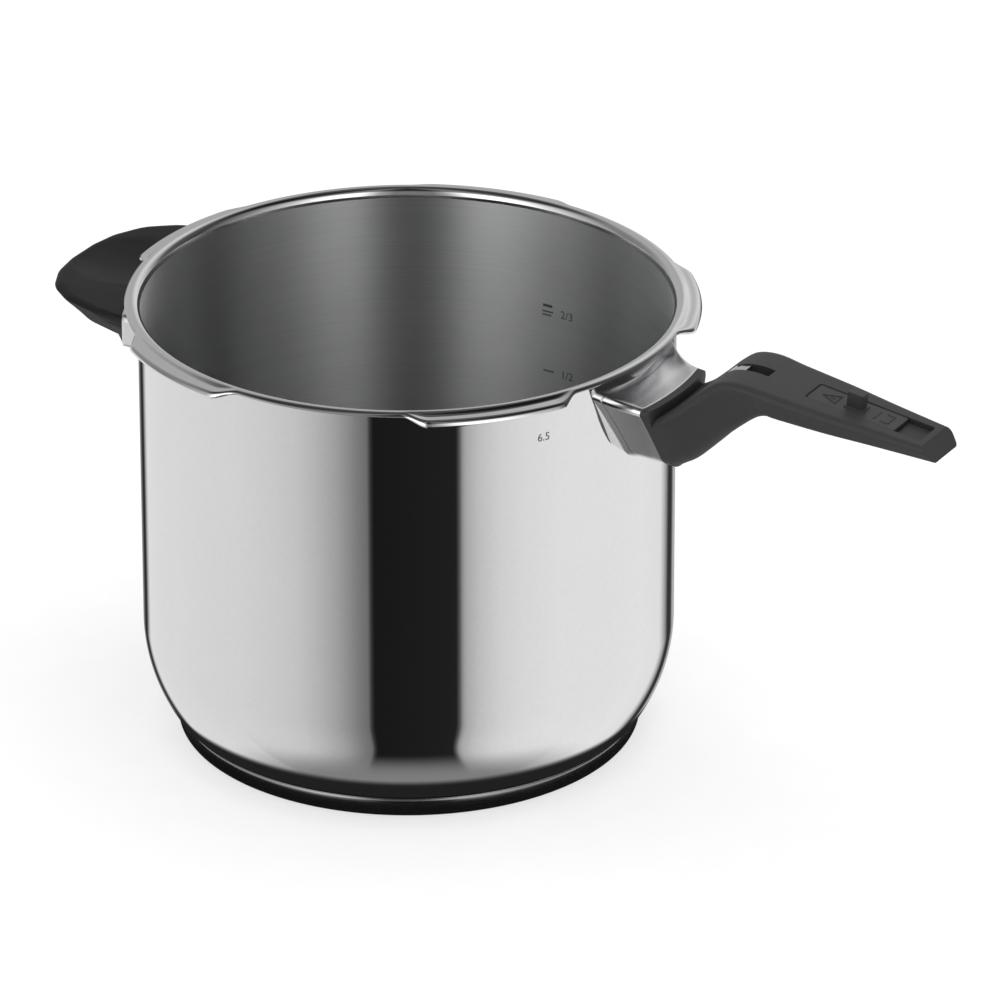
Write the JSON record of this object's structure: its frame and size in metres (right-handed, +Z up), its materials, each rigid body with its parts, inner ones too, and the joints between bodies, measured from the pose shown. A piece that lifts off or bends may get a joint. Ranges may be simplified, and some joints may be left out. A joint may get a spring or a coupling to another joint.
{
  "type": "pressure cooker pot",
  "caption": "Deep stainless pressure cooker pot with bayonet rim, heat-spreading base, long locking handle with a sprung slider and a short helper handle.",
  "frame": {"origin": "centre of the base underside, on the pot's axis", "axes": "+Z up along the pot's axis, +X out along the long handle, helper handle towards -X"},
  "size_m": [0.4088, 0.2418, 0.197],
  "materials": {
    "pot_steel": "polished outside, satin inside",
    "base_steel": "polished edge, turned underside",
    "core_aluminium": "plain",
    "bracket_steel": "polished",
    "plain_steel": "plain stamped",
    "lock_steel": "satin",
    "screw_steel": "bright zinc",
    "spring_steel": "drawn wire",
    "grip_plastic": "fine grained black",
    "slider_plastic": "fine grained black"
  },
  "bodies": {
    "pot": {"pot_shell": "pot_steel", "base_capsule": "base_steel", "base_core": "core_aluminium", "main_weld_flange": "bracket_steel", "main_flame_guard": "bracket_steel", "main_tang": "plain_steel", "main_fixing_screw": "screw_steel", "main_fixing_washer": "screw_steel", "main_grip": "grip_plastic", "main_grip_cover": "grip_plastic", "cover_screws": "screw_steel", "slider_spring": "spring_steel", "spring_pin": "screw_steel", "helper_weld_flange": "bracket_steel", "helper_flame_guard": "bracket_steel", "helper_grip": "grip_plastic", "helper_studs": "screw_steel", "helper_washers": "screw_steel", "helper_nuts": "screw_steel"},
    "slider": {"slider_plate": "slider_plastic", "slider_carrier": "slider_plastic", "slider_screws": "screw_steel", "lock_bar": "lock_steel", "lock_bar_rivet": "screw_steel"}
  },
  "joints": [
    {"name": "slider_slide", "type": "slide", "parent": "pot", "child": "slider", "axis": [0.9898, 0, -0.1426], "range_m": [0, 0.01], "stiffness_N_per_m": 150, "springref_m": -0.008, "deforming": ["slider_spring"]}
  ]
}
